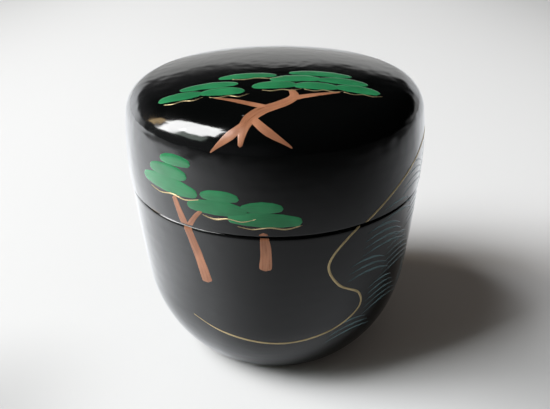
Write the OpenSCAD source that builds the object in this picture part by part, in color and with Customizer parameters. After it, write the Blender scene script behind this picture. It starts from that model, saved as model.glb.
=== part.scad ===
// Natsume: a round lacquered caddy for powdered tea, turned in two pieces.
// The body has a thin upstanding rim inside its mouth. The domed lid slides down over that
// rim and comes to rest on the ledge around it, which leaves one fine seam on the outside.
// Millimetres. +Z is up, and the origin is the centre of the foot, on the table.

/* [Overall size] */
// Diameter of the widest ring, on the lid's skirt
caddy_dia = 66; // [60:0.5:74]
// Height of the body from the table to the seam
body_h = 42.5; // [40:0.5:48]
// Height of the lid from the seam to the top of its dome
lid_h = 24.5; // [23:0.5:30]
// Diameter of the flat foot
foot_dia = 36.5; // [32:0.5:42]

/* [Lid outline] */
// Height of the widest ring above the seam
widest_up = 5.2; // [3:0.1:7]
// Radius of the skirt's swell, seen from the side
skirt_r = 66; // [50:1:120]
// Radius of the shoulder between skirt and dome
shoulder_r = 7; // [5:0.25:9]
// Radius of the dome
crown_r = 120; // [90:1:150]

/* [Body outline] */
// Radius of the nearly upright side, seen from the side
side_r = 256; // [200:4:400]
// How far the side runs down from the widest ring before the belly turns in
side_drop = 28.5; // [24:0.5:30]
// Radius of the heel, where the belly turns on to the foot
heel_r = 7; // [6:0.25:9]

/* [Walls] */
// Thickness of the lid's skirt around the rim
skirt_wall = 1.9; // [1.6:0.05:2.1]
// Thickness of the lid's shoulder and dome
lid_wall = 2.1; // [1.9:0.05:2.6]
// Thickness of the body's upstanding rim
rim_wall = 1.2; // [1:0.05:1.5]

/* [Lid seat] */
// Height of the rim above the seam
rim_h = 9; // [6:0.25:11]
// Gap all round between rim and lid
lid_gap = 0.15; // [0.08:0.01:0.3]
// Gap between the top of the rim and the step inside the lid
rim_top_gap = 0.5; // [0.3:0.05:1]
// How far the lid stands proud of the body at the seam
lid_proud = 0.3; // [0:0.01:0.4]

/* [Edges and foot] */
// Rounding of the lid's lower edge
skirt_round = 0.3; // [0.2:0.05:0.4]
// Rounding of the body's upper edge, below it
ledge_round = 1; // [0.4:0.05:1]
// Rounding of the rim's lip
lip_round = 0.45; // [0.3:0.05:0.45]
// Lead-in chamfer at the mouth of the lid
lead_in = 0.25; // [0.15:0.05:0.3]
// Width of the ring that the foot stands on
foot_ring = 3.5; // [2.5:0.25:5]
// Depth of the recess inside that ring
foot_recess = 0.8; // [0.4:0.05:1.2]
// Rounding of the corner inside the recess
recess_round = 0.4; // [0.2:0.05:0.4]

/* [Hidden] */
// Furthest that a chord of an outline may lie from its true curve
chord_error = 0.005;
// Steps around the axis
$fn = 180;

widest_z = body_h + widest_up;
caddy_h = body_h + lid_h;
foot_r = foot_dia / 2;
lid_half = caddy_dia / 2;
body_half = lid_half - lid_proud;

// The fit, from the outside in: skirt, gap, rim, tea.
seat_r = lid_half - skirt_wall;
rim_r = seat_r - lid_gap;
mouth_r = rim_r - rim_wall;
body_wall = body_half - mouth_r;
rim_top = body_h + rim_h;
seat_top = rim_top + rim_top_gap;

// The lid's arcs. The shoulder is the fillet between dome and skirt.
crown_c = [0, caddy_h - crown_r];
skirt_c = [lid_half - skirt_r, widest_z];
shoulder_c = meet(crown_c, crown_r - shoulder_r, skirt_c, skirt_r - shoulder_r);
crown_end = bearing(crown_c, shoulder_c);
skirt_end = bearing(skirt_c, shoulder_c);

// The body's arcs. The belly is the one arc that runs on from the side into the heel with no
// corner at either end.
side_c = [body_half - side_r, widest_z];
side_end = -asin(side_drop / side_r);
side_foot = side_c + side_r * unit(side_end);
heel_c = [foot_r, heel_r];
heel_to_side = side_foot - heel_c;
belly_r = (heel_to_side * heel_to_side - heel_r ^ 2)
        / (2 * (heel_to_side * unit(side_end) - heel_r));
belly_c = side_foot - belly_r * unit(side_end);
belly_end = bearing(belly_c, heel_c);

function unit(angle) = [cos(angle), sin(angle)];

function bearing(from, to) = atan2(to.y - from.y, to.x - from.x);

function reversed(points) = [for (i = [len(points) - 1 : -1 : 0]) points[i]];

// Where two circles meet, on the side away from the axis.
function meet(c1, r1, c2, r2) =
    let (apart = norm(c2 - c1),
         along = (r1 ^ 2 - r2 ^ 2 + apart ^ 2) / (2 * apart),
         across = sqrt(r1 ^ 2 - along ^ 2),
         u = (c2 - c1) / apart)
    c1 + along * u + across * [abs(u.y), u.x * sign(-u.y)];

// The points of an arc after its first one, as few as chord_error allows.
function arc(c, r, from, to) =
    let (steps = ceil(abs(to - from) / (2 * acos(1 - chord_error / r))))
    [for (i = [1 : steps]) c + r * unit(from + (to - from) * i / steps)];

// The bearing, and the distance from the axis, at which a circle passes height z.
function bearing_at(c, r, z) = asin((z - c.y) / r);
function reach_at(c, r, z) = c.x + r * cos(bearing_at(c, r, z));

// The lid's outline from the top of the dome down to height z, moved in by inset.
function lid_outline(inset, z) = concat(
    [[0, caddy_h - inset]],
    arc(crown_c, crown_r - inset, 90, crown_end),
    arc(shoulder_c, shoulder_r - inset, crown_end, skirt_end),
    arc(skirt_c, skirt_r - inset, skirt_end, bearing_at(skirt_c, skirt_r - inset, z)));

// The body's outline from height z down to the foot, moved in by inset.
function body_outline(inset, z) = concat(
    [[reach_at(side_c, side_r - inset, z), z]],
    arc(side_c, side_r - inset, bearing_at(side_c, side_r - inset, z), side_end),
    arc(belly_c, belly_r - inset, side_end, belly_end),
    arc(heel_c, heel_r - inset, belly_end, -90));

module body() {
    edge_z = body_h - ledge_round;
    edge_r = reach_at(side_c, side_r, edge_z);
    recess_r = foot_r - foot_ring;
    color("#101013")
    rotate_extrude()
    polygon(concat(
        // recess in the foot
        [[0, foot_recess], [recess_r - recess_round, foot_recess]],
        arc([recess_r - recess_round, foot_recess - recess_round], recess_round, 90, 0),
        [[recess_r, 0]],
        // outside, from the foot up to the seam
        reversed(body_outline(0, edge_z)),
        arc([edge_r - ledge_round, edge_z], ledge_round, 0, 90),
        // ledge that the lid rests on, and the rim inside it
        [[rim_r, body_h], [rim_r, rim_top - lip_round]],
        arc([rim_r - lip_round, rim_top - lip_round], lip_round, 0, 90),
        [[mouth_r + lip_round, rim_top]],
        arc([mouth_r + lip_round, rim_top - lip_round], lip_round, 90, 180),
        // inside, down to the floor
        body_outline(body_wall, widest_z),
        [[0, body_wall]]));
}

module lid() {
    edge_z = body_h + skirt_round;
    edge_r = reach_at(skirt_c, skirt_r, edge_z);
    color("#131316")
    rotate_extrude()
    polygon(concat(
        // outside, from the top of the dome down to the seam
        lid_outline(0, edge_z),
        arc([edge_r - skirt_round, edge_z], skirt_round, 0, -90),
        // mouth, and the seat that slides over the rim
        [[seat_r + lead_in, body_h], [seat_r, body_h + lead_in], [seat_r, seat_top]],
        // inside of the dome
        reversed(lid_outline(lid_wall, seat_top))));
}

body();
lid();
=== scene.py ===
# %% [markdown]
# # A lacquered tea caddy
# A natsume holds powdered green tea. It is turned from wood in two pieces, a cup and a domed
# lid, and both get many coats of black lacquer. A picture is then painted over the closed caddy
# in coloured lacquer and gold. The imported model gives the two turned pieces, so this script only
# dresses them: it spins a finer skin over each outline, ripples it as brushed lacquer is
# rippled, and lays the picture on top as thin raised films of paint.

# %% Load the frame
import math

import bpy
import numpy as np
from mathutils import Matrix, Vector, noise


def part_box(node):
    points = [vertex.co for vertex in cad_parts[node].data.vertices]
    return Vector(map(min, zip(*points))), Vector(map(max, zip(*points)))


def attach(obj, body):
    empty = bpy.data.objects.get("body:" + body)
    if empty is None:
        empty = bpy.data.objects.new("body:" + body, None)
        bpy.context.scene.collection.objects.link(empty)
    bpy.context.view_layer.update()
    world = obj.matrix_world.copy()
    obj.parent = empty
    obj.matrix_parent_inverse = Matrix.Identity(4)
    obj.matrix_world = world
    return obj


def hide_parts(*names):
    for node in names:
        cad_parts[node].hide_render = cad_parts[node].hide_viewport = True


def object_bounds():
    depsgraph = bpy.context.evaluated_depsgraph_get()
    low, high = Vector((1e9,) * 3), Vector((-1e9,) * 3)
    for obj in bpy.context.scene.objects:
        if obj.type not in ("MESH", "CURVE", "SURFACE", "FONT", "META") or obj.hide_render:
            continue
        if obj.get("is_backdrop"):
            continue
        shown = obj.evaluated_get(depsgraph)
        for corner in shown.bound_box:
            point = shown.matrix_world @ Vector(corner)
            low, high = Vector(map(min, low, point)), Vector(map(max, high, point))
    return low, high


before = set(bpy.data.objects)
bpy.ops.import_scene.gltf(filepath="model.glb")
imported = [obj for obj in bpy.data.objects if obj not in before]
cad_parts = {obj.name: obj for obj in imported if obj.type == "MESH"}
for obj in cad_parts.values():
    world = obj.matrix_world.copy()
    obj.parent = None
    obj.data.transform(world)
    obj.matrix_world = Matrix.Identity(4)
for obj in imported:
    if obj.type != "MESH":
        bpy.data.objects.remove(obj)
cad_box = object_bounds()
MM = 0.001

# %% [markdown]
# ## The turned outlines
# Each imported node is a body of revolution, so all its points lie on rings around the axis. Two
# rings that share an edge are neighbours on the outline. Walking from ring to ring gives the
# outline back, and it can't drift from the solid, because it is read from the solid. The walk
# starts where the outside meets the axis, at the top of the dome or in the middle of the foot.

# %% Read an outline from its rings
SAME_RING = 0.03  # mm within which two spots on the outline count as one ring
seam_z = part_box("lid")[0].z / MM


def numbers(collection, name, width):
    """One property of all vertices or edges, as an array with a row for each."""
    flat = np.empty(len(collection) * width, np.float32 if name == "co" else np.int32)
    collection.foreach_get(name, flat)
    return flat.reshape(-1, width)


def turned_outline(node):
    """The outline of a turned node as rows of (distance from the axis, height), in mm."""
    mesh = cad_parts[node].data
    points = numbers(mesh.vertices, "co", 3) / MM
    flat = np.c_[np.hypot(points[:, 0], points[:, 1]), points[:, 2]]
    spots, spot_of = np.unique(flat.round(2), axis=0, return_inverse=True)
    rings = []
    ring_of = np.empty(len(flat), int)
    for i, spot in enumerate(spots):
        near = [k for k, ring in enumerate(rings) if math.dist(ring, spot) < SAME_RING]
        if not near:
            rings.append(spot)
        ring_of[spot_of.ravel() == i] = near[0] if near else len(rings) - 1
    size = np.bincount(ring_of)
    centre = np.c_[[np.bincount(ring_of, flat[:, k]) / size for k in (0, 1)]].T
    beside = {k: set() for k in range(len(rings))}
    for a, b in ring_of[numbers(mesh.edges, "vertices", 2)]:
        if a != b:
            beside[a].add(b)
            beside[b].add(a)
    ends = [k for k in beside if len(beside[k]) == 1]
    way = [max(ends, key=lambda k: abs(centre[k][1] - seam_z))]
    while True:
        onward = [k for k in beside[way[-1]] if k not in way]
        if not onward:
            break
        way.append(min(onward, key=lambda k: math.dist(centre[k], centre[way[-1]])))
    outline = centre[way]
    caps = [[[0, outline[k][1]]] if outline[k][0] > SAME_RING else [] for k in (0, -1)]
    outline = np.array([*caps[0], *outline.tolist(), *caps[1]])
    outline[[0, -1], 0] = 0
    return outline


outlines = {node: turned_outline(node) for node in ("body", "lid")}
for node, outline in outlines.items():
    print(node, "outline of", len(outline), "points, widest", outline[:, 0].max().round(2), "mm")

# %% [markdown]
# ## From a polyline to a flowing outline
# The solid's outline is a chain of short straight steps. Gloss would show each of them as a
# ring. A subdivision modifier would smooth them, but it would also pull the outline inwards and
# round off the fit at the seam. So the outline is filled in with a curve through its points. Where
# two steps meet at a sharp angle the piece has a real corner, and the curve breaks there.

# %% Fill an outline in
CORNER = math.radians(30)
FINE = 0.35    # mm between rings on the outside
COARSE = 0.9   # mm between rings inside, where there is little to see


def flowing(outline, spacing):
    """Rows of (distance from the axis, height) on a smooth curve through an outline's points."""
    step = np.diff(outline, axis=0)
    length = np.hypot(*step.T)
    way = step / length[:, None]
    into, out = way.copy(), way.copy()       # the curve's heading at each step's end and start
    for i in range(len(step) - 1):
        turn = math.acos(max(-1.0, min(1.0, way[i] @ way[i + 1])))
        if turn < CORNER:
            through = outline[i + 2] - outline[i]
            into[i] = out[i + 1] = through / np.hypot(*through)
    curve = [outline[:1]]
    for a, b, head, tail, size in zip(outline, outline[1:], out, into, length):
        t = np.linspace(0, 1, max(2, math.ceil(size / spacing) + 1))[1:, None]
        curve.append((1 + 2 * t) * (1 - t) ** 2 * a + t * (1 - t) ** 2 * size * head
                     + t * t * (3 - 2 * t) * b - t * t * (1 - t) * size * tail)
    return np.vstack(curve)


def parted(node):
    """A node's outline as two rows of points: the outside, from its pole to the seam, and the rest."""
    outline = outlines[node]
    ledge = np.flatnonzero(abs(outline[:, 1] - seam_z) < SAME_RING)[0]
    return flowing(outline[:ledge + 1], FINE), flowing(outline[ledge:], COARSE)


profiles = {node: parted(node) for node in outlines}
for node, (outside, inside) in profiles.items():
    print(node, len(outside), "rings outside,", len(inside), "inside")

# %% [markdown]
# ## The outside as a chart
# Everything painted lies on the outside of one of the two pieces. A place there is given by how
# far the caddy is turned and how far one walks along the outline from the seam, so a drawing on
# flat paper can be rolled on to the piece. The same chart adds the ripple of brushed lacquer. A
# bump in the finish would be less work, but it is lost on the silhouette and in a plain mesh, so
# only the finest grain is left to a bump and the paint follows the real ripple. Right at the seam
# and at the foot there is none, so that the lid sits and the caddy stands as the solids do.

# %% The ripple of brushed lacquer
RIPPLES = ((7.5, 0.024), (2.6, 0.018))  # wavelength and height, mm
BRUSHED = (1.1, 0.008)          # the same for the marks of a brush drawn round and round
BRUSH_CIRCLE = 4                # radius of the circle, in noise cells, that such a mark is looked up on
SHOULDER = (60, 5, 0.035, 2.2)  # height, reach, swing and wavelength of the uneven shoulder, mm
CALM = 1.0                      # mm from the seam and from the table over which the ripple sets in


def ripple(points, turn, walk):
    """How far the lacquer stands proud of a perfect turning at points in mm."""
    height = np.zeros(len(points))
    for wavelength, amount in RIPPLES:
        height += [amount * noise.noise(Vector(p)) for p in points / wavelength]
    wavelength, amount = BRUSHED
    marks = np.c_[BRUSH_CIRCLE * np.cos(turn), BRUSH_CIRCLE * np.sin(turn), walk / wavelength]
    height += [amount * noise.noise(Vector(p)) for p in marks]
    level, reach, swing, wavelength = SHOULDER
    near = np.exp(-((points[:, 2] - level) / reach) ** 2)
    height += swing * near * [noise.noise(Vector(p)) for p in points / wavelength]
    return height * np.clip(np.minimum(walk, points[:, 2]) / CALM, 0, 1)


swings = [amount for _, amount in (*RIPPLES, BRUSHED)] + [SHOULDER[2]]
print("the ripple stays within", round(sum(swings), 3), "mm")


# %% A chart of each outside
class Outside:
    """The outside of one turned piece: its turn is an angle, and its walk starts at the seam."""

    def __init__(self, node):
        line = profiles[node][0][::-1]
        step = np.hypot(*np.diff(line, axis=0).T)
        self.line = line
        self.walk = np.r_[0, np.cumsum(step)]
        along = np.gradient(line, self.walk, axis=0)
        along /= np.hypot(*along.T)[:, None]
        away = 1 if node == "lid" else -1
        self.normal = away * np.c_[along[:, 1], -along[:, 0]]
        self.length = self.walk[-1]

    def place(self, turn, walk, lift):
        """Points in metres, lift mm above the lacquer. All three are arrays of one size."""
        r, z = (np.interp(walk, self.walk, self.line[:, k]) for k in (0, 1))
        out, up = (np.interp(walk, self.walk, self.normal[:, k]) for k in (0, 1))
        flat = np.c_[r * np.sin(turn), -r * np.cos(turn), z]
        lift = lift + ripple(flat, turn, walk)
        return (flat + lift[:, None] * np.c_[out * np.sin(turn), -out * np.cos(turn), up]) * MM


outsides = {node: Outside(node) for node in profiles}
print("walk from seam to pole:", {n: round(o.length, 1) for n, o in outsides.items()}, "mm")

# %% [markdown]
# ## The two turned pieces
# Each piece is spun again from its flowing outline, in far finer steps than the solid needs. A
# Screw modifier could spin it too, but rings written in code have a known place on the chart, and
# the ripple needs that. Only the outside is rippled. The inside, the rim and the seat are turned
# true, because they have to fit. The piece stands for its solid, which stays for the collisions.

# %% Spin a piece
SECTORS = 512  # steps around the axis


def mesh_object(name, points, faces, smooth=True):
    """A new object from points in metres and faces."""
    mesh = bpy.data.meshes.new(name)
    mesh.from_pydata(np.asarray(points).tolist(), [], faces)
    mesh.polygons.foreach_set("use_smooth", [smooth] * len(mesh.polygons))
    obj = bpy.data.objects.new(name, mesh)
    bpy.context.scene.collection.objects.link(obj)
    return obj


def spun(node, finishes):
    """The piece that stands for a turned node, with one finish outside and one inside."""
    outside, inside = profiles[node]
    line = np.vstack([outside[1:], inside[1:-1]])
    sector = np.linspace(0, 2 * math.pi, SECTORS, endpoint=False)
    turn = np.tile(sector, len(outside) - 1)
    walk = np.repeat(outsides[node].walk[::-1][1:], SECTORS)
    rippled = outsides[node].place(turn, walk, np.zeros(len(turn)))
    r, z = (np.repeat(inside[1:-1, k], SECTORS) for k in (0, 1))
    turn = np.tile(sector, len(inside) - 2)
    true = np.c_[r * np.sin(turn), -r * np.cos(turn), z] * MM
    poles = np.array([[0, 0, outside[0, 1]], [0, 0, inside[-1, 1]]]) * MM
    points = np.vstack([rippled, true, poles])
    ring = np.arange(SECTORS)
    onward = (ring + 1) % SECTORS
    faces = []
    for k in range(len(line) - 1):
        a, b = k * SECTORS, (k + 1) * SECTORS
        faces.append(np.c_[a + ring, b + ring, b + onward, a + onward])
    quads = np.vstack(faces).tolist()
    last = (len(line) - 1) * SECTORS
    first_pole, last_pole = len(line) * SECTORS, len(line) * SECTORS + 1
    quads += [[first_pole, int(a), int(b)] for a, b in zip(ring, onward)]
    quads += [[last_pole, int(last + b), int(last + a)] for a, b in zip(ring, onward)]
    if node == "lid":
        quads = [face[::-1] for face in quads]
    piece = mesh_object(f"{node}_lacquered", points, quads)
    for finish in finishes:
        piece.data.materials.append(finish)
    finish_of = np.zeros(len(quads), np.int32)
    finish_of[(len(outside) - 2) * SECTORS:(len(line) - 1) * SECTORS] = 1
    finish_of[-SECTORS:] = 1
    piece.data.polygons.foreach_set("material_index", finish_of)
    piece.data.set_sharp_from_angle(angle=CORNER)
    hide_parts(node)
    return piece


# %% [markdown]
# ## Shader sums in Python
# A finish is a small graph of nodes. It could be wired node by node, but a sum of three terms
# would then take a dozen lines. The class below wraps one output of a node instead, so that sums
# on it read as plain Python and add the Math nodes by themselves.

# %% A signal in a finish
class Signal:
    """One output of a shader node. Sums on it add Math nodes."""

    def __init__(self, finish, output):
        self.finish, self.output = finish, output

    def maths(self, operation, *others):
        values = dict(enumerate((self, *others)))
        return self.finish.node("ShaderNodeMath", {"operation": operation}, values)

    def __add__(self, other):
        return self.maths("ADD", other)

    def __mul__(self, other):
        return self.maths("MULTIPLY", other)

    def __sub__(self, other):
        return self.maths("SUBTRACT", other)

    def __rsub__(self, other):
        return (self * -1) + other

    def __truediv__(self, other):
        return self.maths("DIVIDE", other)

    def __pow__(self, other):
        return self.maths("POWER", other)

    def __gt__(self, other):
        return self.maths("GREATER_THAN", other)

    __radd__ = __add__
    __rmul__ = __mul__

    def between(self, low, high):
        """0 below low, 1 above high and a soft step between. With high under low it falls."""
        values = {"Value": self, "From Min": low, "From Max": high}
        return self.finish.node("ShaderNodeMapRange", {"interpolation_type": "SMOOTHSTEP"}, values)


# %% [markdown]
# All other nodes come from the one method `node` below. It takes the node's type, its settings and
# what goes into its sockets. The settings come first, because they can change which sockets a node
# has. The methods after it are short names for the nodes that most finishes use.

# %% A finish and its nodes
class Finish:
    """A material, or the world, whose graph grows by method calls."""

    def __init__(self, name, world=None):
        self.material = world or bpy.data.materials.new(name)
        self.material.use_nodes = True
        self.tree = self.material.node_tree

    def feed(self, socket, value):
        """Put a signal, a colour or a number into a socket."""
        if isinstance(value, Signal):
            self.tree.links.new(value.output, socket)
        elif socket.type == "RGBA" and len(value) == 3:
            socket.default_value = (*value, 1)
        else:
            socket.default_value = value

    def node(self, kind, settings=None, values=None, output=0):
        """A new node of one type, and one of its outputs as a signal."""
        made = self.tree.nodes.new(kind)
        for name, setting in (settings or {}).items():
            setattr(made, name, setting)
        for name, value in (values or {}).items():
            self.feed(made.inputs[name], value)
        return Signal(self, made.outputs[output])

    def blend(self, share, first, second):
        """A colour: first where share is 0, second where it is 1."""
        settings = {"data_type": "RGBA", "clamp_factor": True}
        return self.node("ShaderNodeMix", settings, {0: share, 6: first, 7: second}, 2)

    def noise(self, where, scale, detail=2.0, roughness=0.5):
        values = {"Vector": where, "Scale": scale, "Detail": detail, "Roughness": roughness}
        return self.node("ShaderNodeTexNoise", None, values)

    def surface(self, **values):
        """Feed the sockets of the surface, which are named with _ for each space."""
        shader = self.tree.nodes["Principled BSDF"]
        for name, value in values.items():
            self.feed(shader.inputs[name.replace("_", " ")], value)
        return self.material

    def bump(self, height, distance, strength=1.0):
        values = {"Height": height, "Distance": distance, "Strength": strength}
        return self.node("ShaderNodeBump", None, values)


# %% [markdown]
# ## Black lacquer
# Real lacquer is clear brown and looks black over a black ground. It could be made as a clear coat
# over a dark base, but almost nothing comes back from below it, so one glossy layer looks the same
# and is simpler. It is as smooth as glass but not as flat: brushing leaves a fine unevenness that
# shows only in what it mirrors. So the colour hardly changes. The interest is in a fine bump, in
# slightly duller patches where hands have been, and in the specks of dust on whatever faces up.

# %% Lacquer finishes
DEEP_BLACK, WORN_BLACK = (0.0014, 0.0018, 0.0018), (0.0024, 0.0026, 0.0026)
DUST = (0.35, 0.35, 0.36)
HANDLED, GRAIN, SPECKS = 90.0, 900.0, 210.0  # noise cells to the metre of patches, bump and dust
GRAIN_DEPTH = 0.000006                       # metres
SPECK_EDGE = (0.055, 0.025)                  # a speck's outer and inner radius, as shares of its cell
BARE_CELLS = 0.8                             # share of the cells that hold no speck


def black_lacquer(name, gloss, dusty):
    """Glossy black. gloss is its roughness, and dusty adds specks to what faces up."""
    finish = Finish(name)
    where = finish.node("ShaderNodeTexCoord", None, None, "Object")
    patches = finish.noise(where, HANDLED, 3.0)
    fine = finish.noise(where, GRAIN, 2.0)
    colour = finish.blend(patches, DEEP_BLACK, WORN_BLACK)
    roughness = patches.between(0.45, 0.75) * 0.05 + gloss
    if dusty:
        values = {"Vector": where, "Scale": SPECKS, "Randomness": 1.0}
        cell = finish.node("ShaderNodeTexVoronoi", {"feature": "F1"}, values, "Distance")
        pick = finish.node("ShaderNodeTexVoronoi", {"feature": "F1"}, values, "Color")
        pick = finish.node("ShaderNodeSeparateColor", None, {"Color": pick}, "Red")
        normal = finish.node("ShaderNodeNewGeometry", None, None, "Normal")
        up = finish.node("ShaderNodeSeparateXYZ", None, {"Vector": normal}, "Z").between(0.3, 0.9)
        speck = cell.between(*SPECK_EDGE) * (pick > BARE_CELLS) * up
        colour = finish.blend(speck * 0.35, colour, DUST)
        roughness = roughness + speck * 0.4
    return finish.surface(Base_Color=colour, Roughness=roughness, IOR=1.6,
                          Normal=finish.bump(fine, GRAIN_DEPTH))


outer_lacquer = black_lacquer("black lacquer outside", 0.1, True)
inner_lacquer = black_lacquer("black lacquer inside", 0.13, False)
print("finishes:", outer_lacquer.name, "and", inner_lacquer.name)

# %% Lid and body
lid = spun("lid", (outer_lacquer, inner_lacquer))
body = spun("body", (outer_lacquer, inner_lacquer))
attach(lid, "lid")
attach(body, "caddy")
for piece in (lid, body):
    print(piece.name, len(piece.data.polygons), "faces")

# %% [markdown]
# ## Strokes of paint
# The picture is painted with a loaded brush, so its unit is the stroke: a line with a width that
# swells and thins, rounded where the brush went down and lifted off. A few points give the line,
# and a smooth curve is led through them and cut into even stations.

# %% A smooth line
STATION = 0.3  # mm between a stroke's cross-sections
BETWEEN = 24   # fine steps from one given point to the next
FEWEST = 6     # stations of the shortest stroke


def through(points, spacing):
    """Evenly spaced points on a smooth line through a few given ones, and where each given one is."""
    points = np.asarray(points, float)
    padded = np.vstack([2 * points[0] - points[1], points, 2 * points[-1] - points[-2]])
    fine = [points[:1]]
    t = np.linspace(0, 1, BETWEEN + 1)[1:, None]
    for p, a, b, n in zip(padded, padded[1:], padded[2:], padded[3:]):
        fine.append(0.5 * (2 * a + (b - p) * t + (2 * p - 5 * a + 4 * b - n) * t ** 2
                           + (3 * a - p - 3 * b + n) * t ** 3))
    fine = np.vstack(fine)
    run = np.r_[0, np.cumsum(np.hypot(*np.diff(fine, axis=0).T))]
    steps = max(FEWEST, math.ceil(run[-1] / spacing))
    even = np.linspace(0, run[-1], steps + 1)
    return np.c_[[np.interp(even, run, fine[:, k]) for k in (0, 1)]].T, even, run[::BETWEEN]


# %% [markdown]
# A stroke is a closed film of paint about 0.05 mm thick and not a picture on the surface, so its
# edges catch the light and it stays a shape of its own in a plain mesh. Its top stands
# proud, and its rim dips under the lacquer, so that no gap shows below it. Each point also keeps
# its place along and across the brush, from which the finish draws the streaks.

# %% The shape of a stroke
PAINT = 0.045        # mm that a film stands proud of the lacquer
BURIED = 0.03        # mm that its underside lies below
ACROSS = 0.45        # mm between points across a stroke
WAVER = 2.5          # mm, the wavelength at which a stroke's width comes and goes
HAIRS_TO_MM = 1.6    # hair marks to the mm across a stroke
HAIR_LENGTH = 6      # mm that such a mark runs along it
RIDGES = 0.3         # how much of a film's height the hair marks change
TIP = 0.02           # the width that is left at a stroke's very ends, as a share
chance = np.random.default_rng(66)  # the painter's hand, the same in every run


def swept(way, width, thickness, blunt, wobble):
    """A stroke on flat paper: the places across it at each station, their lift and brush marks."""
    line, run, marks = through(way, STATION)
    widths = np.interp(run, marks, np.broadcast_to(width, len(marks)))
    seed = chance.uniform(0, 100)
    uneven = np.array([noise.noise(Vector((seed, r / WAVER, 0))) for r in run])
    half = widths / 2 * (1 + wobble * uneven)
    for gap in (run, run[-1] - run):
        reach = np.maximum(widths / 2 * blunt, 0.05)
        half = half * np.sqrt(np.clip(1 - (1 - np.minimum(gap / reach, 1)) ** 2, TIP ** 2, 1))
    heading = np.gradient(line, run, axis=0)
    heading /= np.hypot(*heading.T)[:, None]
    sideways = np.c_[-heading[:, 1], heading[:, 0]]
    count = max(5, math.ceil(widths.max() / ACROSS) | 1)
    v = np.sin(np.linspace(-math.pi / 2, math.pi / 2, count))
    v = np.r_[v, v[::-1]]
    top = np.arange(2 * count) < count
    flat = line[:, None] + sideways[:, None] * (half[:, None] * v)[..., None]
    grain = np.array([[noise.noise(Vector((seed, w * h * HAIRS_TO_MM, r / HAIR_LENGTH)))
                       for w in v[:count]] for r, h in zip(run, half)])
    grain = np.c_[grain, grain[:, ::-1]]
    crown = thickness * (1 - np.abs(v) ** 4) * (1 + RIDGES * grain)
    inner = np.abs(v) < 0.999
    lift = np.where(top & inner, crown, -BURIED * np.where(top, 0.5, 1))
    brush = np.stack(np.broadcast_arrays(run[:, None] + seed, v * half[:, None] + 3 * seed), -1)
    return flat, lift, brush


# %% [markdown]
# There are more than a hundred strokes. An object for each would be slow to make and to export, so
# all the strokes of one paint on one piece become one object. It rides on that piece, and the
# paint on the lid goes up with the lid.

# %% Films that gather strokes
FILM_EDGE = math.radians(50)  # a sharper turn than this between faces is an edge of the film


class Film:
    """All the strokes of one paint on one piece, gathered into one object."""

    def __init__(self, name, node, finish):
        self.name, self.node, self.finish = name, node, finish
        self.points, self.faces, self.brush = [], [], []
        self.count = 0

    def add(self, sections, brush):
        """Closed cross-sections, an array of (stations, points around, 3), become one film."""
        stations, around = sections.shape[:2]
        index = self.count + np.arange(stations * around).reshape(stations, around)
        right = np.roll(index, -1, axis=1)
        quads = np.stack([index[:-1], right[:-1], right[1:], index[1:]], -1).reshape(-1, 4)
        self.faces += quads.tolist() + [index[0, ::-1].tolist(), index[-1].tolist()]
        self.points.append(sections.reshape(-1, 3))
        self.brush.append(brush.reshape(-1, 2))
        self.count += stations * around

    def lay(self, body_name, slot):
        """Make the object, or nothing where the film has no stroke."""
        if not self.count:
            return None
        obj = mesh_object(self.name, np.vstack(self.points), self.faces)
        corners = np.empty(len(obj.data.loops), np.int32)
        obj.data.loops.foreach_get("vertex_index", corners)
        layer = obj.data.uv_layers.new(name="brush")
        layer.uv.foreach_set("vector", np.vstack(self.brush)[corners].astype(np.float32).ravel())
        obj.data.set_sharp_from_angle(angle=FILM_EDGE)
        obj.data.materials.append(self.finish)
        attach(obj, body_name)
        return obj


# %% [markdown]
# A flat stroke goes on to the caddy in one of two ways. The side is rolled out like a label, and
# what crosses the seam is shared out between lid and body. The lid's top is laid on like a round
# cloth from its middle outwards, which hardly stretches anything on so low a dome.

# %% Rolling a stroke on
SEAM_EDGE = {"lid": 0.4, "body": 0.75}  # mm of outline from the seam that stays bare
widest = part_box("lid")[1].x / MM        # mm from the axis to the widest ring


def on_side(pair, way, width, thickness=PAINT, blunt=1.0, wobble=0.12):
    """A stroke on the rolled-out side: mm around from the front, and mm above the seam."""
    flat, lift, brush = swept(way, width, thickness, blunt, wobble)
    for node, sign in (("lid", 1), ("body", -1)):
        height = flat[..., 1] * sign
        rows = np.flatnonzero((height > SEAM_EDGE[node]).any(1))
        if not len(rows):
            continue
        rows = slice(max(rows[0] - 1, 0), rows[-1] + 2)
        x, s = flat[rows, :, 0], np.maximum(height[rows], SEAM_EDGE[node])
        placed = outsides[node].place((x / widest).ravel(), s.ravel(), lift[rows].ravel())
        pair[node].add(placed.reshape(*x.shape, 3), brush[rows])


def on_top(pair, way, width, thickness=PAINT, blunt=1.0, wobble=0.12):
    """A stroke on the lid's top: mm to the right of its middle and mm away from the front."""
    flat, lift, brush = swept(way, width, thickness, blunt, wobble)
    x, y = flat[..., 0].ravel(), flat[..., 1].ravel()
    walk = outsides["lid"].length - np.hypot(x, y)
    placed = outsides["lid"].place(np.arctan2(x, -y), walk, lift.ravel())
    pair["lid"].add(placed.reshape(*flat.shape[:2], 3), brush)


print("once round the side is", round(2 * math.pi * widest, 1), "mm")

# %% [markdown]
# ## The paints
# Coloured lacquer is opaque and dries glossy, with faint streaks along the brush. Gold is a
# powder sifted into a wet line, so it is mostly metal with a soft shine. The water is a thin wash:
# so little colour over so much black that it is made as a very dark paint and needs no
# transparency. Streaks follow the brush, because their noise is stretched along each stroke.

# %% Paint finishes
ALONG_BRUSH = (0.12, 1.3, 1)  # the noise is drawn out along the stroke and pressed together across it
STREAK_DEPTH = 0.000005       # metres


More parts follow.
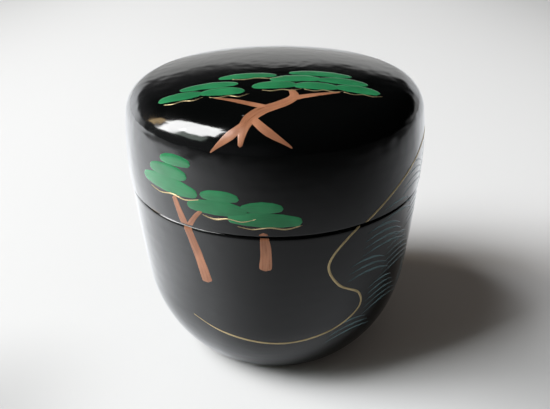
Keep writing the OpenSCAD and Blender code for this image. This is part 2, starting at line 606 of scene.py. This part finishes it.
def brushed_paint(name, deep, full, gloss, streak=0.5, **constants):
    """Opaque paint between two tones. streak is the share of its change that runs along the brush."""
    finish = Finish(name)
    marks = finish.node("ShaderNodeUVMap", {"uv_map": "brush"})
    long = finish.node("ShaderNodeMapping", None, {"Vector": marks, "Scale": ALONG_BRUSH})
    streaks = finish.noise(long, 1.7, 3.0, 0.6)
    cloud = finish.noise(marks, 0.16, 2.0)
    tone = streaks.between(0.3, 0.7) * streak + cloud.between(0.3, 0.7) * (1 - streak)
    colour = finish.blend(tone, deep, full)
    return finish.surface(Base_Color=colour, Roughness=streaks * 0.1 + gloss,
                          Normal=finish.bump(streaks, STREAK_DEPTH), **constants)


green_paint = brushed_paint("green paint", (0.019, 0.160, 0.062), (0.028, 0.240, 0.092), 0.14, 0.25)
copper_paint = brushed_paint("copper paint", (0.25, 0.10, 0.050), (0.48, 0.215, 0.118), 0.24, 0.4)
gold_line = brushed_paint("gold line", (0.40, 0.31, 0.155), (0.70, 0.56, 0.31), 0.32, 0.7,
                          Metallic=0.65)
teal_wash = brushed_paint("teal wash", (0.030, 0.058, 0.066), (0.078, 0.150, 0.165), 0.2, 0.8)

PAINTS = {"green": (green_paint, "green_paint"), "copper": (copper_paint, "copper_paint"),
          "gold": (gold_line, "gold_line"), "teal": (teal_wash, "teal_wash")}
BODY_OF = {"lid": "lid", "body": "caddy"}
films = {paint: {node: Film(f"{node}_{paint}", node, finish) for node in outsides}
         for paint, (finish, _) in PAINTS.items()}


def painted():
    """How many points of each paint there are on each piece so far."""
    every = [film for pair in films.values() for film in pair.values()]
    return {film.name: film.count for film in every if film.count}


print("paints:", ", ".join(PAINTS))

# %% [markdown]
# ## The old pine on the lid
# Pines by the shore are among the oldest of lacquer subjects. The foliage is drawn as flat pads. A
# pad could be one traced outline, but a painter sets it down in a few leaf-shaped dabs, and dabs
# give its scalloped edge by themselves. They lie in rows that overlap like tiles, with chinks of
# black between them and a fine looped line of gold below for the twigs. Where dabs overlap, each
# next one lies a hair higher, so that no two films share a surface.

# %% Dabs and twigs
LAYER = 0.007  # mm from one overlapping dab up to the next
LAYERS = 4     # heights that dabs take turns at
DROOP = -14    # degrees that the outer dabs of a row hang down
LEAN = -5      # degrees that the outer twigs under a pad hang down
ARCH = 0.45    # how far a dab is bowed up, as a share of its depth
OVERLAP = 1.1  # how much longer a dab is than its share of the row


def turned(x, y, run, rise, tilt):
    """A line round (x, y) that goes sideways by run and up by rise, turned by tilt degrees."""
    a = math.radians(tilt)
    return np.c_[x + run * math.cos(a) - rise * math.sin(a), y + run * math.sin(a) + rise * math.cos(a)]


def dab(draw, x, y, long, deep, tilt=0.0, lift=0):
    """One press of a full brush: a long oval with its foot a little flatter than its top."""
    run = np.linspace(-0.5, 0.5, 5)
    way = turned(x, y, run * long, (0.25 - run ** 2) * ARCH * deep, tilt)
    width = deep * np.array([0.45, 0.88, 1.0, 0.9, 0.5])
    draw(films["green"], way, width, thickness=PAINT + LAYER * lift, blunt=1.0, wobble=0.07)


def twigs(draw, x, y, long, tilt=0.0, loops=2):
    """A gold line of shallow loops, fine at both ends."""
    run = np.linspace(-0.5, 0.5, 2 * loops + 1)
    sag = np.where(np.arange(len(run)) % 2, -0.30, 0.18) * chance.uniform(0.6, 1.3, len(run))
    sag[-1] += 0.35
    way = turned(x, y, run * long, sag, tilt)
    width = np.r_[0.1, chance.uniform(0.22, 0.34, len(run) - 2), 0.1]
    draw(films["gold"], way, width, thickness=PAINT * 1.5, wobble=0.2)


def pad(draw, x, y, *rows):
    """A pad of foliage. Each row is (left, right, height, depth, dabs) as seen from its middle."""
    lift = 0
    for left, right, height, depth, count in rows:
        step = (right - left) / count
        for k in range(count):
            middle = left + step * (k + 0.5)
            tilt = DROOP * (middle - (left + right) / 2) / max(right - left, 1)
            dab(draw, x + middle, y + height + chance.uniform(-0.15, 0.15), step * OVERLAP, depth,
                tilt + chance.uniform(-2, 2), lift)
            lift = (lift + 1) % LAYERS
    left, right, height, depth, count = rows[0]
    foot = y + height - depth * 0.45
    for k in range(count):
        middle = left + (right - left) * (k + 0.5) / count
        twigs(draw, x + middle + chance.uniform(0.5, 2.5), foot + chance.uniform(-0.3, 0.1),
              (right - left) / count * 0.95, LEAN * middle / max(right - left, 1))


# %% Foliage of the old pine
pad(on_top, 8.5, -15.8, (-12.5, 11.5, 0.0, 3.7, 3), (-9.0, 9.5, 3.3, 3.5, 2), (-5.0, 6.5, 6.5, 3.1, 1))
pad(on_top, -13.0, -17.6, (-9.0, 7.0, 0.0, 3.6, 2), (-5.0, 5.5, 3.2, 3.1, 1))
pad(on_top, -5.0, -10.6, (-5.6, 5.0, 0.0, 3.2, 1))
print("points so far:", painted())

# %% Trunk, boughs and roots
BARK = 0.02  # mm: bark is brushed out thin, so that its strokes run together
TRUNK = ([(-6.5, -33.2), (-5.2, -29.0), (-2.6, -25.6), (1.4, -23.0), (3.6, -20.4), (3.2, -17.4)],
         [0.8, 2.5, 2.9, 2.6, 2.2, 1.2])


def bark(draw, way, widths):
    """A stroke of copper-brown for wood, its ends rather square."""
    draw(films["copper"], way, widths, BARK, 0.5)


bark(on_top, *TRUNK)
bark(on_top, [(2.6, -21.2), (7.0, -19.6), (12.5, -17.6)], [2.0, 1.5, 0.5])
bark(on_top, [(-1.5, -24.4), (-6.5, -21.8), (-11.5, -19.4)], [1.9, 1.4, 0.5])
bark(on_top, [(-3.9, -28.1), (-8.0, -30.8), (-12.6, -33.0)], [1.4, 2.2, 0.3])
bark(on_top, [(-4.0, -28.0), (-1.2, -31.0), (3.2, -33.8)], [1.9, 1.9, 0.3])
print("points so far:", painted())

# %% [markdown]
# ## Young pines across the seam
# Three young pines stand on the left. Their heads are on the lid and their stems run over the
# seam on to the body, so the picture shows which way round the lid goes. They are painted over the
# closed caddy on the rolled-out side, which parts each stem at the seam by itself.

# %% Young pines
bark(on_side, [(-52.5, -9.0), (-53.6, -2.0), (-55.4, 4.0)], [2.4, 2.1, 1.3])
pad(on_side, -55.2, 6.2, (-7.2, 6.4, 0.0, 3.4, 1), (-4.6, 4.6, 2.9, 2.8, 1))
bark(on_side, [(-14.6, -13.0), (-16.2, -6.5), (-18.6, 0.5), (-20.5, 6.0)], [2.6, 2.3, 2.0, 1.2])
bark(on_side, [(-18.0, -0.6), (-16.0, 2.4), (-14.0, 4.6)], [1.5, 1.2, 0.7])
pad(on_side, -21.5, 7.6, (-7.4, 6.0, 0.0, 3.5, 1), (-5.2, 4.0, 2.9, 3.0, 1), (-2.0, 5.0, 5.4, 2.4, 1))
pad(on_side, -11.4, 5.0, (-5.4, 5.6, 0.0, 3.2, 1), (-2.6, 4.4, 2.7, 2.4, 1))
bark(on_side, [(-2.2, -8.2), (-2.0, -4.0), (-2.4, 1.0)], [2.6, 2.4, 1.6])
pad(on_side, -2.0, 3.4, (-6.4, 6.2, 0.0, 3.2, 1), (-4.2, 3.0, 2.6, 2.4, 1))
print("points so far:", painted())

# %% [markdown]
# ## Shore and water
# A gold line marks the edge of the sand. It comes round from the back on the lid's skirt, crosses
# the seam and runs out low on the front. Beyond it the water could be a pattern in the finish, but
# loose sets of short curved strokes keep a painter's irregular gaps, where the black is the depth.

# %% The shoreline
SHORE = [(104, 6), (90, 8.5), (76, 5), (64, 8), (52, 11), (41, 11), (31, 7.5), (22.5, 3),
         (14.5, -2.5), (10.5, -8), (13, -13.5), (18.5, -17.5), (19, -22), (12, -26), (1, -28),
         (-11, -26.5), (-20, -23.5)]
on_side(films["gold"], SHORE, [0.1, *[0.56] * (len(SHORE) - 2), 0.1], thickness=PAINT * 1.6)
print("the shoreline runs through", len(SHORE), "points")

# %% Water
def swell(x, s, count, long, tilt, spread=1.8):
    """A set of strokes, one above the other, each bowed like a low wave."""
    for k in range(count):
        reach = long * (1 - 0.1 * k) / 2
        run = np.linspace(-1, 1, 5)
        way = turned(x - 0.5 * k, s + spread * k, run * reach, (1 - run ** 2) * 0.24 * reach, tilt)
        on_side(films["teal"], way, [0.12, 0.5, 0.7, 0.5, 0.1], thickness=PAINT * 0.6)


WATER = [(36, 1.4, 4, 14, -8), (47, 4.0, 4, 15, -10), (30, -3.4, 3, 15, -10), (45, -2.4, 4, 15, -14),
         (26, -9.4, 4, 16, -8), (41, -9.0, 5, 17, -12), (21.5, -14.2, 3, 13, -6), (33, -17.5, 6, 18, -10),
         (27.5, -24.8, 5, 14, -2), (18, -29.5, 3, 13, 4), (55, -7.0, 5, 15, -12), (41, -25.5, 5, 15, -6),
         (60, 1.0, 4, 14, -10), (52, -17, 5, 16, -8), (68, -5.5, 4, 14, -8), (73, 1.0, 3, 13, -8),
         (70, -14.5, 4, 14, -6), (84, -5.0, 4, 13, -4), (91, 1.5, 4, 12, -4), (98, -9.0, 3, 11, 0)]
for place in WATER:
    swell(*place)
print(sum(place[2] for place in WATER), "strokes of water in", len(WATER), "sets")

# %% Lay the films on their pieces
for paint, (finish, slot) in PAINTS.items():
    for node, film in films[paint].items():
        laid = film.lay(BODY_OF[node], slot)
        if laid:
            print(laid.name, "rides on", BODY_OF[node], "with", len(laid.data.polygons), "faces")

# %% [markdown]
# ## Camera
# The camera looks down at the caddy from close by, which opens up the lid and narrows the foot. A
# longer lens from further off would flatten both. It is held a little askew and aims just below
# the caddy's middle, so the view needs no shift.

# %% Camera
SENSOR = 36               # mm
FOCAL, FRAME = 580, 550   # focal length and width of the frame, in pixels
DISTANCE = 140.0 * MM     # from the camera to the caddy's middle
LOOK_DOWN = 0.4818        # radians
ROLL = -0.0129            # radians
MIDDLE = Vector((0, 0, 33)) * MM
AIM = Vector((-0.22, -0.44, 32.16)) * MM

camera = bpy.data.objects.new("camera", bpy.data.cameras.new("camera"))
camera.data.sensor_width = SENSOR
camera.data.lens = FOCAL / FRAME * SENSOR
camera.data.clip_start = 0.005
camera.location = MIDDLE + DISTANCE * Vector((0, -math.cos(LOOK_DOWN), math.sin(LOOK_DOWN)))
aimed = (AIM - camera.location).to_track_quat("-Z", "Y").to_matrix().to_4x4()
camera.matrix_world = Matrix.Translation(camera.location) @ aimed @ Matrix.Rotation(ROLL, 4, "Z")
bpy.context.scene.collection.objects.link(camera)
bpy.context.scene.camera = camera
print("lens", round(camera.data.lens, 1), "mm, looking down", round(math.degrees(LOOK_DOWN)), "degrees")

# %% [markdown]
# ## Table
# Black lacquer shows what is around it more than itself, so most of its look is made from here on.
# The caddy stands on a wide pale sheet by a tall window on the left. A backdrop that curves up
# would hide the horizon, but it would also show in the lid, so the table is a plain disc. It is
# wide enough for every view and small enough to stay clear of the window wall.

# %% Directions
def towards(azimuth, elevation):
    """A direction: azimuth in degrees to the right of the front, elevation above the table."""
    a, e = math.radians(azimuth), math.radians(elevation)
    return Vector((math.sin(a) * math.cos(e), -math.cos(a) * math.cos(e), math.sin(e)))


# %% Table
TABLE = 1.15  # metres from the middle to the edge
EDGES = 96
turn = np.linspace(0, 2 * math.pi, EDGES, False)
rim = np.c_[TABLE * np.cos(turn), TABLE * np.sin(turn), np.zeros(EDGES)]
table = mesh_object("table", rim, [list(range(EDGES))], smooth=False)
table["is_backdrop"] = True
print("table", 2 * TABLE, "m across")

# %% [markdown]
# ## The sheet, seen and mirrored
# The sheet has one tone for the eye and another for what the lacquer mirrors of it, and the Light
# Path node's Is Glossy Ray tells them apart. Seen plainly it is pale, with painted shade that makes
# it a little darker towards the back, the sides and the front corners. In the lacquer it is a
# painted reflection: a painted sheen towards the window, and painted shade that sinks into the dark
# towards the front and the right, which keeps the front of the caddy deep black.
# Both tones depend only on the place on the table, never on where the camera is.

# %% Places on the table
GLOOM_WAY = towards(30, 0)
paper = Finish("table")
where = paper.node("ShaderNodeNewGeometry", None, None, "Position")
x, y = (paper.node("ShaderNodeSeparateXYZ", None, {"Vector": where}, axis) for axis in "XY")
values = {0: where, 1: GLOOM_WAY}
away = paper.node("ShaderNodeVectorMath", {"operation": "DOT_PRODUCT"}, values, "Value")
far = paper.node("ShaderNodeVectorMath", {"operation": "LENGTH"}, {0: where}, "Value")
gloomward = away / far  # 1 straight towards the gloom, and -1 straight away from it
behind = y / far        # 1 straight behind the caddy
aside = x * x           # square metres: it grows smoothly to both sides
print("the gloom lies towards", tuple(round(c, 2) for c in GLOOM_WAY))

# %% What the lacquer mirrors of the sheet, a painted reflection
WINDOW_SHINE, GLOOM_SHINE = 1.5, 0.31  # what the window's side has over the rest, and the rest
GLOOM_REACH = 0.087  # metres in which the shine falls to a third on the way into the gloom
FOOT_REACH = 0.077   # metres from the middle at which that fall is counted from
SLOWEST = 0.25       # pace of that fall off to the side of the gloom
WINDOW_GAIN = 0.35   # extra shine further out on the window's side
SHEET = 0.3          # metres from the middle to the sheet's left and right edges
OFF_SHEET = 0.12     # share of the shine that is left beyond those edges
MIRROR_TINT = (0.87, 0.9, 0.94)
# Painted reflection: the mirrored tone is a painted sheen towards the window and painted shade that falls
# off into the gloom towards the front and the right.
level = gloomward.between(0.95, -0.45) * WINDOW_SHINE + GLOOM_SHINE
pace = (gloomward ** 4 * (1 - SLOWEST) + SLOWEST) * gloomward.between(-0.15, 0.15)
shine = level * ((far - FOOT_REACH) * pace * (-1 / GLOOM_REACH)).maths("EXPONENT")
shine = shine * (far.between(0.06, 0.15) * gloomward.between(-0.3, -0.7) * WINDOW_GAIN + 1)
on_sheet = aside.between((SHEET + 0.04) ** 2, (SHEET - 0.03) ** 2).maths("MAXIMUM", y.between(0.06, 0.18))
shine = shine * (on_sheet * (1 - OFF_SHEET) + OFF_SHEET)
painted_reflection_tone = paper.blend(shine, (0, 0, 0), MIRROR_TINT)
print("into the gloom the shine falls to a third in", round(GLOOM_REACH / MM), "mm")

# %% [markdown]
# A colour can't be brighter than white, so where the shine passes 1 the rest of it is given off as
# light of its own, for mirror rays alone. It is left out in the caddy's shadow and right in front
# of and behind the caddy.

# %% Glare, and the tone that the eye sees, with painted shade
PAPER = 0.78           # how pale the sheet is
# Painted shade: the sheet's plain tone loses these shares towards the back, the sides and the front
# corners.
PAINTED_BACK_SHADE = 0.035      # how much of that it loses towards the back
PAINTED_SIDE_SHADE = 0.27       # share of its tone that it loses towards the sides
PAINTED_CORNER_SHADE = 0.27     # share that it loses once more in the front corners
PAPER_TINT, GLARE_TINT = (0.985, 1.0, 1.012), (0.95, 0.97, 1.0)
mirrored = paper.node("ShaderNodeLightPath", None, None, "Is Glossy Ray")
unshaded = far.between(0.07, 0.11).maths("MAXIMUM", x.between(0.01, -0.01))
glare = (shine - 1) * aside.between(0.0, 0.004) * behind.between(0.95, 0.5) * unshaded * mirrored
# Painted shade: the plain tone is made darker in the front corners, towards the sides and a little
# towards the back.
corner = y.between(0.0, -0.04) * aside.between(0.0006, 0.0042)
tone = (y.between(0.02, 0.45) * -PAINTED_BACK_SHADE + PAPER) * (aside.between(0.0, 0.11) * -PAINTED_SIDE_SHADE + 1)
plain = paper.blend(tone * (corner * -PAINTED_CORNER_SHADE + 1), (0, 0, 0), PAPER_TINT)
paper.surface(Base_Color=paper.blend(mirrored, plain, painted_reflection_tone), Roughness=0.8,
              Emission_Color=paper.blend(glare, (0, 0, 0), GLARE_TINT), Emission_Strength=1.0)
table.data.materials.append(paper.material)
print("the sheet's finish has", len(paper.tree.nodes), "nodes")

# %% [markdown]
# ## The window
# The window lights the table and casts the soft shadow, and its image in the lid's shoulder is the
# bright highlight. One big lamp would light the table as well, but its image would be a flat patch.
# So the window is cut into panes of different brightness, all in one wall. Two of them do only one
# of the two jobs. The skylight above the window softens and shortens the shadow, and mirror rays
# don't see it, because its image would stretch the highlight. The side pane widens the highlight
# and lights nothing matt.

# %% Window
WINDOW_WALL = (-62, 1.2)    # azimuth in degrees and distance in metres of the wall with the window


def pane(name, left, right, foot, top, radiance, tint=(1, 1, 1)):
    """A pane of the window. left and right are azimuths, foot and top are heights in metres.

    radiance says how bright the pane looks. An area lamp's watts are pi times that for each m2.
    """
    way, distance = WINDOW_WALL
    a, b = (distance * math.tan(math.radians(side - way)) for side in (left, right))
    lamp = bpy.data.lights.new(name, "AREA")
    lamp.shape = "RECTANGLE"
    lamp.size, lamp.size_y = b - a, top - foot
    lamp.energy = radiance * math.pi * lamp.size * lamp.size_y
    lamp.color = tint
    obj = bpy.data.objects.new(name, lamp)
    middle = towards(way, 0) * distance + towards(way + 90, 0) * (a + b) / 2
    obj.location = middle + Vector((0, 0, (foot + top) / 2))
    obj.rotation_euler = towards(way, 0).to_track_quat("Z", "Y").to_euler()
    bpy.context.scene.collection.objects.link(obj)
    print(name, round(lamp.size, 2), "by", round(lamp.size_y, 2), "m,", round(lamp.energy, 1), "W")
    return obj


pane("skylight", -108, -62, 2.1, 2.8, 13).visible_glossy = False
pane("window_high", -82, -60, 1.6, 2.08, 17)
pane("window_right", -82, -60, 0.82, 1.6, 16)
pane("window_side", -60, -51, 1.0, 1.85, 16).visible_diffuse = False
pane("window_middle", -101, -82, 1.0, 1.9, 15)
pane("window_left", -97, -80, 0.43, 1.0, 15)
pane("window_garden", -80, -55, 0.48, 0.82, 2.0, (0.85, 1.0, 0.9))
pane("window_frame", -109, -101, 0.5, 1.15, 3.6, (1.0, 0.72, 0.38))

# %% [markdown]
# ## The room
# Walls could be built as meshes, but a few sums on the direction in which a ray leaves give the
# same image in the gloss. The lacquer sees a low pale wall at the back, which shows in the lid's
# far edge and is brightest beside the window, a faint haze over it, and darkness elsewhere. For
# matt things the world is the weak warm light that the room sends back, and that sets how deep the
# shadow is. For the eye it is a plain pale backdrop.

# %% Surroundings
BACKDROP = (0.8, 0.8, 0.8)
ROOM_LIGHT = (0.083, 0.072, 0.063)
HAZE = (0.1, 0.1, 0.105)
WALL_MIDDLE, WALL_SIDES = (0.62, 0.62, 0.61), (0.95, 0.97, 1.0)
WALL_BY_WINDOW, WALL_RIGHT = (2.0, 2.04, 2.1), (0.5, 0.5, 0.5)
GABLE, GABLE_FALL = 0.325, 0.45  # height of the wall's raised middle and its fall to the sides
WALL_TOP, WALL_BOW = 0.25, 0.13  # the same for the rest of the wall
RIGHT_DROP = 0.11                # how much lower the wall is on the right
world = bpy.data.worlds.new("surroundings")
bpy.context.scene.world = world
sky = Finish("surroundings", world)
seen = sky.node("ShaderNodeLightPath", None, None, "Is Camera Ray")
mirrored = sky.node("ShaderNodeLightPath", None, None, "Is Glossy Ray")
way = sky.node("ShaderNodeTexCoord", None, None, "Generated")
side, back, height = (sky.node("ShaderNodeSeparateXYZ", None, {"Vector": way}, axis) for axis in "XYZ")
leftward = side * -1
gable = GABLE - side.maths("ABSOLUTE") * GABLE_FALL
top = gable.maths("MAXIMUM", WALL_TOP - side * side * WALL_BOW) - side.between(0.45, 0.8) * RIGHT_DROP
wall = (top - height).between(-0.03, 0.025) * back.between(0.3, 0.6)
glow = sky.blend((side * side).between(0.01, 0.35), WALL_MIDDLE, WALL_SIDES)
glow = sky.blend(leftward.between(0.4, 0.8), glow, WALL_BY_WINDOW)
glow = sky.blend(side.between(0.5, 0.7), glow, WALL_RIGHT)
haze = sky.blend(height.between(0.6, 0.2) * leftward.between(-0.35, 0.9), (0.0, 0.0, 0.0), HAZE)
room = sky.blend(mirrored, ROOM_LIGHT, sky.blend(wall, haze, glow))
sky.feed(sky.tree.nodes["Background"].inputs["Color"], sky.blend(seen, room, BACKDROP))
bpy.context.scene.view_settings.view_transform = "Standard"
print("the surroundings have", len(sky.tree.nodes), "nodes")

# %% [markdown]
# ## Sizes
# Finer skins and paint must not make the caddy bigger than its solids are. The dressed caddy's box
# is measured and compared with the solids' box.

# %% Compare the sizes and finish
visual_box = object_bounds()
past = max(max(cad_box[0] - visual_box[0]), max(visual_box[1] - cad_box[1]))
print("the dressed caddy stands at most", round(past / MM, 2), "mm past its solids")
